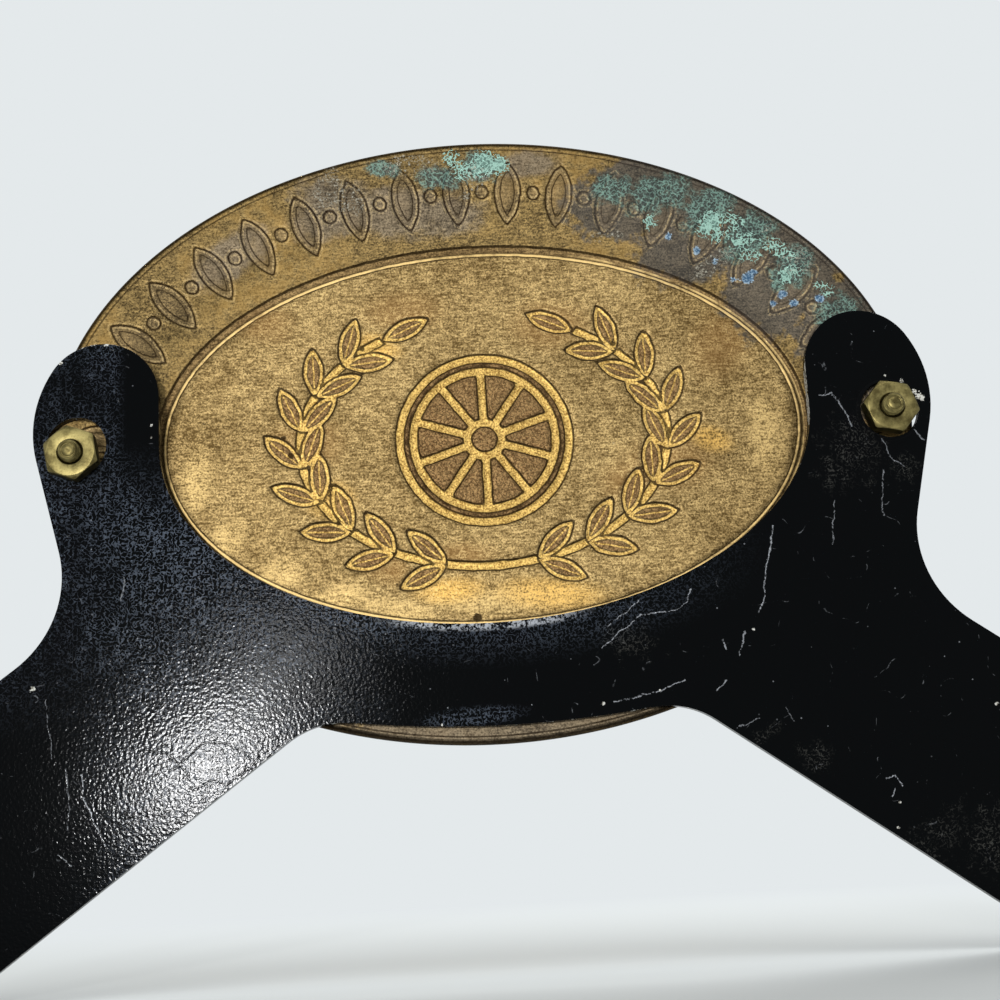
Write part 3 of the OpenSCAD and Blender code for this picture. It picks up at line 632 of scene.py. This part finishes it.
def black_enamel():
    """Gloss black with a fine orange peel. A painted sheen of grey flecks lies on one side and on the web,
    where the orange peel would mirror the lamps, with a painted glint along the window's lower edge. The enamel
    is scratched, scuffed, cracked, and chipped where the sheet's edges turn."""
    material, start, place = new_material("black_enamel")
    peel = place.noise(0.55, 1, 0.5)
    fine = place.noise(0.34, 1.5, 0.6, seed=2)
    worm = place.worms(0.7, 0.16)
    cloud = place.noise(20, 3, 0.6, seed=5)
    mottle = place.noise(2.0, 4, 0.65, seed=1)
    across, height = (start.node("ShaderNodeSeparateXYZ", {}, {0: place}, k) / MM for k in (0, 2))
    facing = start.node("ShaderNodeSeparateXYZ", {}, {0: start.node("ShaderNodeTexCoord", output="Normal")}, 1)
    window = place.patch(*window_oval)

    # Painted sheen: light flecks where the orange peel would mirror the lamps, on the +X side, below the
    # window's edge and on the web; kept off the ear's inner strip and faded out at the leg's end.
    painted_sheen = ((cloud - 0.5) * 26.0 + across).rise(16, 38)
    ear_strip = across.rise(59.6, 57.4) * height.rise(58, 68)
    leg_end = across.rise(50, 68) * height.rise(38, 20)
    painted_sheen = painted_sheen * (1 - ear_strip) * (1 - leg_end)
    painted_sheen = painted_sheen * (mottle * 0.6 + cloud * 0.9 + place.patch(*painted_sheen_oval).most(0) * 0.3).rise(0.45, 1.05)
    painted_sheen = painted_sheen.most(window.rise(-0.24, -0.03) * across.rise(-46, -10) * height.rise(62, 50) * 0.5)
    painted_sheen = painted_sheen.most(place.patch(*web_painted_sheen_oval).rise(0.0, 0.6) * 0.7)
    painted_sheen = painted_sheen.most(place.patch(*rim_painted_sheen_oval).rise(0.0, 0.6))
    sheen_flecks = (fine * 0.7 + worm * 0.32).rise(0.42, 0.72) * painted_sheen
    scuffs = strongest([place.patch(*patch) for patch in scuff_patches])
    scuffs = (scuffs + (mottle - 0.5) * 2.2 + (cloud - 0.5)).rise(0.3, 1.0)
    scuffs = scuffs * (fine + worm * 0.3).rise(0.62, 0.86)

    sway = start.node("ShaderNodeVectorMath", {"operation": "MULTIPLY_ADD"}, {
        0: place.noise(2.4, 4, 0.7, color=True), 1: (sway_reach * MM,) * 3, 2: place})

    def strokes(turns, width, core):
        """Lines through many places, swayed out of true, with a full middle and soft sides."""
        return [sway.stroke(*(v + sway_reach / 2 for v in near_end + far_end)).rise(width / 2, core)
                for near_end, far_end in zip(turns, turns[1:])]

    patchy = (mottle + fine * 1.5 - 0.85).rise(0.1, 0.5)
    scratch = strongest([stroke * patchy * light for light, width, *turns in scratches
                         for stroke in strokes(turns, width, width * 0.1)])
    cracks = strongest([stroke for turns in crack_lines for stroke in strokes(turns, crack_w, 0.06)])
    rubbed = place.worms(7, 0.01, seed=2) * mottle.rise(0.55, 0.66) * 0.25
    # Painted glint: a light band along the window's lower edge, where the rounded edge would catch the light.
    painted_glint = window.rise(-0.045, -0.02) * place.patch(*painted_glint_oval).rise(0.0, 0.5)
    painted_glint = painted_glint * (mottle + fine).rise(0.9, 1.15)
    specks = place.dots(1.3, 0.16, 0.16, seed=7) * (cloud + (mottle - 0.5) * 0.8).rise(0.46, 0.6)
    chip = strongest([(place.near(x, z, radius) + (fine - 0.5) * 2.0 * radius).rise(0.0, 0.12)
                      for x, z, radius in chip_spots])
    turned_edge = abs(facing).rise(0.98, 0.8)
    holes = strongest([place.near(x, z, hole_reach) for x, z in hole_places]).rise(-0.1, 0.1)
    rubbed_edge = strongest([place.patch(*patch) for patch in rubbed_patches]).rise(0.0, 0.3)
    worn = turned_edge * (mottle + fine * 0.4 + rubbed_edge * 0.22).rise(0.8, 0.9) * (1 - holes)
    bare = chip.most(worn)

    # Black, lightened by the flecks of the painted sheen.
    color = start.blend(linear(2, 3, 4), linear(78, 86, 98), sheen_flecks * 0.9)
    color = start.blend(color, linear(76, 76, 72), scuffs * 0.4)
    # Light scratches, rubbed lines, specks and the painted glint.
    color = start.blend(color, linear(168, 172, 178), strongest([scratch, rubbed, specks * 0.4, painted_glint * 0.9]))
    primer = start.blend(linear(116, 112, 102), linear(200, 200, 193), fine.rise(0.4, 0.6))
    color = start.blend(color, primer, bare)
    color = start.blend(color, linear(1, 1, 2), cracks)
    normal = start.node("ShaderNodeBump", {}, {
        "Height": peel - bare * 0.6 - cracks * 1.8 - scratch * 0.3, "Strength": 0.48, "Distance": 0.05 * MM})
    finish_material(start, {
        "Base Color": color, "Normal": normal, "IOR": 1.45, "Specular IOR Level": 0.06,
        "Roughness": (sheen_flecks.most(scuffs) * 0.12 + 0.08).most(bare.most(holes) * 0.7)})
    return material


def rounded_copy(node, name, width, segments):
    """A copy of a CAD node's mesh with its loose triangles merged and its sharp edges rounded by a bevel."""
    shape = bmesh.new()
    shape.from_mesh(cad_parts[node].data)
    shape.transform(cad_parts[node].matrix_world)
    bmesh.ops.remove_doubles(shape, verts=shape.verts, dist=1e-6)
    bmesh.ops.dissolve_limit(shape, angle_limit=math.radians(1), verts=shape.verts, edges=shape.edges,
                             delimit={"NORMAL"})
    sharp = [e for e in shape.edges if len(e.link_faces) == 2 and e.calc_face_angle() > math.radians(50)]
    bmesh.ops.bevel(shape, geom=sharp, offset=width * MM, segments=segments, profile=0.5, affect="EDGES",
                    clamp_overlap=True)
    bmesh.ops.triangulate(shape, faces=[f for f in shape.faces if len(f.verts) > 4])
    mesh = bpy.data.meshes.new(name)
    shape.to_mesh(mesh)
    shape.free()
    return mesh


bracket_mesh = rounded_copy("bracket", "bracket_enamelled", width=0.28, segments=4)
bracket_mesh.polygons.foreach_set("use_smooth", np.ones(len(bracket_mesh.polygons), bool))
bracket = add_piece("bracket_enamelled", bracket_mesh, black_enamel(), "topper", ["bracket"])
weigh = bracket.modifiers.new("weighted_normals", "WEIGHTED_NORMAL")
weigh.keep_sharp = True


# Studs: two brass rods with a cut thread, soldered to the badge's flange. Each goes through a large hole of the
# bracket and stands out of its nut, with its end chamfered.
def fastener_brass():
    """Olive tarnished brass, mottled, and darker in its fine grain."""
    material, start, place = new_material("fastener_brass")
    grain = place.noise(0.22, 2, 0.6)
    mottle = place.noise(1.6, 3, 0.6)
    color = start.blend(linear(76, 68, 40), linear(130, 119, 76), mottle.rise(0.3, 0.7))
    color = start.blend(color, linear(56, 48, 26), grain.rise(0.55, 0.75) * 0.5)
    normal = start.node("ShaderNodeBump", {}, {"Height": grain, "Strength": 0.25, "Distance": 0.05 * MM})
    finish_material(start, {"Base Color": color, "Normal": normal, "Metallic": 1.0,
                            "Roughness": 0.4 + (mottle - 0.5) * 0.2})
    return material


stud_r, thread_pitch, thread_depth, thread_root, thread_flank = 1.75, 0.794, 0.4, 1.25, 3.2
inset, end_cone, plain_foot, round_steps = 0.02, 0.22, 0.4, 72
foot_radii = (0.06, 1.0)
# radius, and depth below the stud's end, from the cone inwards across the turned groove
stud_end = [(1.5, 0.01), (1.26, 0.015), (1.19, 0.08), (1.1, 0.24), (1.01, 0.08), (0.94, 0.015), (0.4, 0.01),
            (0.06, 0.01)]
fastener_metal = fastener_brass()


def stud_axis(side):
    """The middle of a stud in the row frame, from the box of its CAD node."""
    low, high = (np.array(c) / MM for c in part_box(f"{side}_stud"))
    return (low + high) / 2, low, high


def round_axis(middle, foot, radius, along, angle):
    """Points at a radius and an angle, from the top, round an axis along Y, and the grid of their numbers."""
    x, z = middle[0] + radius * np.sin(angle), middle[2] + radius * np.cos(angle)
    points = np.stack([x, foot + along, z], -1).reshape(-1, 3)
    return points, np.arange(radius.size).reshape(radius.shape)


def stud_piece(side):
    """A threaded rod: its radius falls with the distance from the crest of a helix, as a triangle wave. Its end
    is cut by a cone and has a turned groove round its middle."""
    middle, low, high = stud_axis(side)
    length = high[1] - low[1]
    turns = np.linspace(0, 2 * math.pi, round_steps, endpoint=False)
    rows = np.linspace(0, length, 90)
    along, angle = np.meshgrid(rows, turns, indexing="ij")
    phase = np.mod(along / thread_pitch - angle / (2 * math.pi), 1)
    radius = stud_r - inset - thread_depth * np.clip(thread_root - abs(phase - 0.5) * thread_flank, 0, 1)
    radius = np.minimum(radius, stud_r - inset - smooth(along, length - end_cone, length) * end_cone)
    radius = np.where(along < plain_foot, stud_r - inset, radius)
    end_radius, end_angle = np.meshgrid([r for r, depth in stud_end], turns, indexing="ij")
    end_along = np.repeat([[length - depth] for r, depth in stud_end], len(turns), axis=1)
    foot_radius, foot_angle = np.meshgrid(foot_radii, turns, indexing="ij")
    radius = np.concatenate([foot_radius, radius, end_radius])
    angle = np.concatenate([foot_angle, angle, end_angle])
    along = np.concatenate([np.zeros_like(foot_angle), along, end_along])
    points, index = round_axis(middle, low[1], radius, along, angle)
    faces = [list(f) for f in grid_faces(index, wrap_columns=True)]
    faces += [index[0].tolist()[::-1], index[-1].tolist()]
    new_piece(f"{side}_stud_threaded", points, faces, fastener_metal, "topper",
              [f"{side}_stud"])


for side in ("left", "right"):
    stud_piece(side)


# Solder: a dull grey fillet run round the foot of each stud, a little uneven as it set.
def dull_solder():
    """Grey, grainy metal with a matt skin."""
    material, start, place = new_material("dull_solder")
    grain = place.noise(0.3, 3, 0.6)
    color = start.blend(linear(92, 88, 78), linear(150, 146, 134), grain.rise(0.3, 0.7))
    normal = start.node("ShaderNodeBump", {}, {"Height": grain, "Strength": 0.5, "Distance": 0.08 * MM})
    finish_material(start, {"Base Color": color, "Normal": normal, "Metallic": 0.7, "Roughness": 0.55})
    return material


solder_w, solder_h, solder_toe, solder_in = 0.85, 1.1, 0.15, 0.02
solder_metal = dull_solder()


def solder_piece(side):
    """A ring whose section is a hollow quarter round from the stud down to the badge. The round's size swells
    and shrinks by three waves round the stud."""
    middle, low, _ = stud_axis(side)
    turns = np.linspace(0, 2 * math.pi, round_steps, endpoint=False)
    bend = np.linspace(0, math.pi / 2, 12)
    hollow_r = solder_w - (solder_w - solder_toe) * np.sin(bend)
    hollow_y = solder_h - (solder_h - solder_toe) * np.cos(bend)
    outward = np.concatenate([[solder_in, solder_w], hollow_r, [solder_in]])
    upward_y = np.concatenate([[0.0, 0.0], hollow_y, [solder_h]])
    out, angle = np.meshgrid(outward, turns, indexing="ij")
    high_y, angle = np.meshgrid(upward_y, turns, indexing="ij")
    swell = 0.9 + 0.05 * np.sin(angle * 2 + 1) + 0.04 * np.sin(angle * 5) + 0.01 * np.sin(angle * 9)
    radius = stud_r + out * swell
    points, index = round_axis(middle, low[1], radius, high_y * swell, angle)
    new_piece(f"{side}_solder_fillet", points, grid_faces(index, True, True), solder_metal, "topper",
              [f"{side}_solder"])


for side in ("left", "right"):
    solder_piece(side)


# Nuts: hexagon nuts of the same brass, turned from bar, with 30 degree chamfers and a countersunk bore.
nut_af, nut_h, nut_bore, nut_sink, sink_depth = 7.94, 2.78, 1.8, 2.1, 0.3
corner_cut, nut_inset, face_in, soft_edge, nut_steps = 0.06, 0.01, 0.12, 0.07, 144
nut_turns = {"left": 49, "right": 39}


def nut_piece(side):
    """A closed section carried round the bore: bore, countersink, face, cone, side and back again. Where it
    meets the hexagon its radius is the hexagon's at that angle, and the cones start inside the flats."""
    low = np.array(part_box(f"{side}_nut")[0]) / MM
    middle = stud_axis(side)[0]
    turns = np.linspace(0, 2 * math.pi, nut_steps, endpoint=False)
    sixth = math.pi / 3
    hexagon = nut_af / 2 / np.cos(np.mod(turns, sixth) - sixth / 2)
    hexagon = np.minimum(hexagon, nut_af / 2 / math.cos(sixth / 2) - corner_cut) - nut_inset
    face_r = nut_af / 2 - face_in
    round_in = np.maximum(hexagon - soft_edge, face_r)
    fall = (round_in - face_r) * math.tan(math.radians(30))
    half = [(nut_bore, nut_h / 2), (nut_bore, nut_h - sink_depth), (nut_sink, nut_h - 0.01),
            (nut_sink + 0.05, nut_h), (face_r - 0.08, nut_h), (face_r, nut_h - 0.015),
            (round_in, nut_h - 0.015 - fall),
            (hexagon - soft_edge * 0.25, nut_h - 0.03 - fall - soft_edge * 0.35),
            (hexagon, nut_h - 0.05 - fall - soft_edge)]
    section = half + [(r, nut_h - y) for r, y in half[::-1]]
    radius, along = (np.array([np.broadcast_to(pair[k], turns.shape) for pair in section]) for k in (0, 1))
    angle = turns + math.pi / 2 + math.radians(nut_turns[side]) + badge_turn + 0 * along
    points, index = round_axis(middle, low[1], radius, along, angle)
    new_piece(f"{side}_nut_hexagon", points, grid_faces(index, True, True), fastener_metal, f"nut_{side}",
              [f"{side}_nut"])


for side in ("left", "right"):
    nut_piece(side)


# Floor and light: a plain pale floor under the legs, soft lamps above the back and the front, two small lamps
# behind the camera that the enamel mirrors, and a pale surround.
surround_tone = linear(228, 233, 235)
ray_kinds = ("Is Camera Ray", "Is Glossy Ray", "Is Transmission Ray")
floor_blend = (0.12, 0.4)


def surround_rays(start):
    """1 for the rays that see the surround itself, and 0 for those that only bring its light."""
    return strongest([start.node("ShaderNodeLightPath", output=kind) for kind in ray_kinds])


def pale_floor():
    """Plain matt white near the legs, which turns into the surround's tone between two distances in metres, so
    that no edge shows."""
    material, start, place = new_material("pale_floor")
    away = start.node("ShaderNodeVectorMath", {"operation": "LENGTH"}, {0: place}, 1)
    matt = start.node("ShaderNodeBsdfDiffuse", {}, {"Color": linear(220, 225, 225)})
    plain = start.node("ShaderNodeEmission", {}, {"Color": surround_tone, "Strength": 1.0})
    surface = start.node("ShaderNodeMixShader", {}, {
        0: away.rise(*floor_blend) * surround_rays(start), 1: matt, 2: plain})
    start.node("ShaderNodeOutputMaterial", {}, {"Surface": surface})
    return material


floor_mesh = bpy.data.meshes.new("floor")
floor_z, floor_reach = cad_box[0][2], 6
floor_corners = [(x * floor_reach, y * floor_reach, floor_z) for x, y in ((-1, -1), (1, -1), (1, 1), (-1, 1))]
floor_mesh.from_pydata(floor_corners, [], [(0, 1, 2, 3)])
floor_mesh.materials.append(pale_floor())
floor = bpy.data.objects.new("floor", floor_mesh)
bpy.context.collection.objects.link(floor)
small_lamp = 0.2


def lamp(name, place, width, height, brightness, roll=0.0):
    """A flat lamp that looks at the badge's middle, turned about its own axis: a small one is an ellipse and a
    large one a rectangle. Its power is pi times its area and its brightness."""
    data = bpy.data.lights.new(name, "AREA")
    data.shape, fill = ("ELLIPSE", math.pi / 4) if width < small_lamp else ("RECTANGLE", 1)
    data.size, data.size_y = width, height
    data.energy = math.pi * width * height * fill * brightness
    made = bpy.data.objects.new(name, data)
    facing = (Vector(place) - aim).to_track_quat("Z", "Y").to_matrix().to_4x4()
    made.matrix_world = Matrix.Translation(place) @ facing @ Matrix.Rotation(roll, 4, "Z")
    bpy.context.collection.objects.link(made)


lamp("high_lamp", place=(-0.1, 0.55, 0.75), width=0.5, height=0.5, brightness=2.4)
lamp("front_lamp", place=(-0.2, -0.7, 0.6), width=0.6, height=0.6, brightness=4.8)
lamp("sheen_lamp", place=(0.14, 0.985, 0.17), width=0.09, height=0.05, brightness=36)
lamp("gloss_lamp", place=(0.2, 0.985, 0.08), width=0.11, height=0.042, brightness=450, roll=math.radians(40))

world = bpy.data.worlds.new("surround")
world.use_nodes = True
world.node_tree.nodes.clear()
sky = Wire(world.node_tree)
shown = sky.node("ShaderNodeBackground", {}, {"Color": surround_tone, "Strength": 1.0})
lit = sky.node("ShaderNodeBackground", {}, {"Color": (1, 1, 1, 1), "Strength": 0.45})
mixed = sky.node("ShaderNodeMixShader", {}, {0: surround_rays(sky), 1: lit, 2: shown})
sky.node("ShaderNodeOutputWorld", {}, {"Surface": mixed})
bpy.context.scene.world = world
bpy.context.scene.view_settings.view_transform = "Standard"
